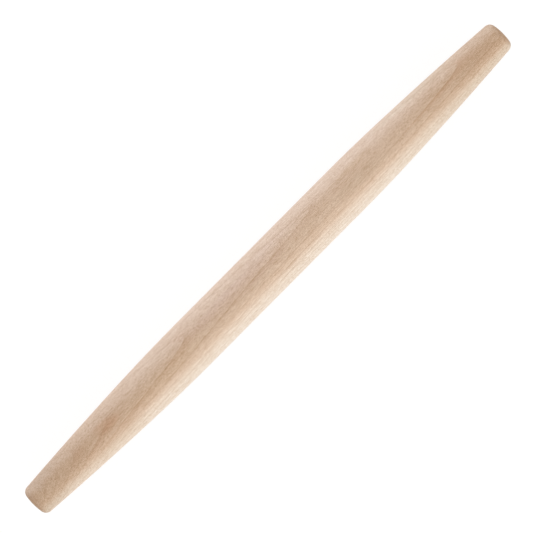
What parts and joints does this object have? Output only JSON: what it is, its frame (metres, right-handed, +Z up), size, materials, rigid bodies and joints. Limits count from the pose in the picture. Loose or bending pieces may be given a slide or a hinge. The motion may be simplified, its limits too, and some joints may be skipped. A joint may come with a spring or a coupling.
{
  "type": "french rolling pin",
  "caption": "One-piece wooden rolling pin without handles: straight in the middle, bowed down to slim tips with softly domed ends.",
  "frame": {"origin": "middle of the pin, on its lathe axis", "axes": "+X along the pin; +Z up, away from the table that it lies on; both ends are alike"},
  "size_m": [0.5, 0.04, 0.04],
  "materials": {
    "beech": "fine-sanded and bare, with a faint satin sheen"
  },
  "bodies": {
    "root": {"rolling_pin": "beech"}
  },
  "joints": []
}
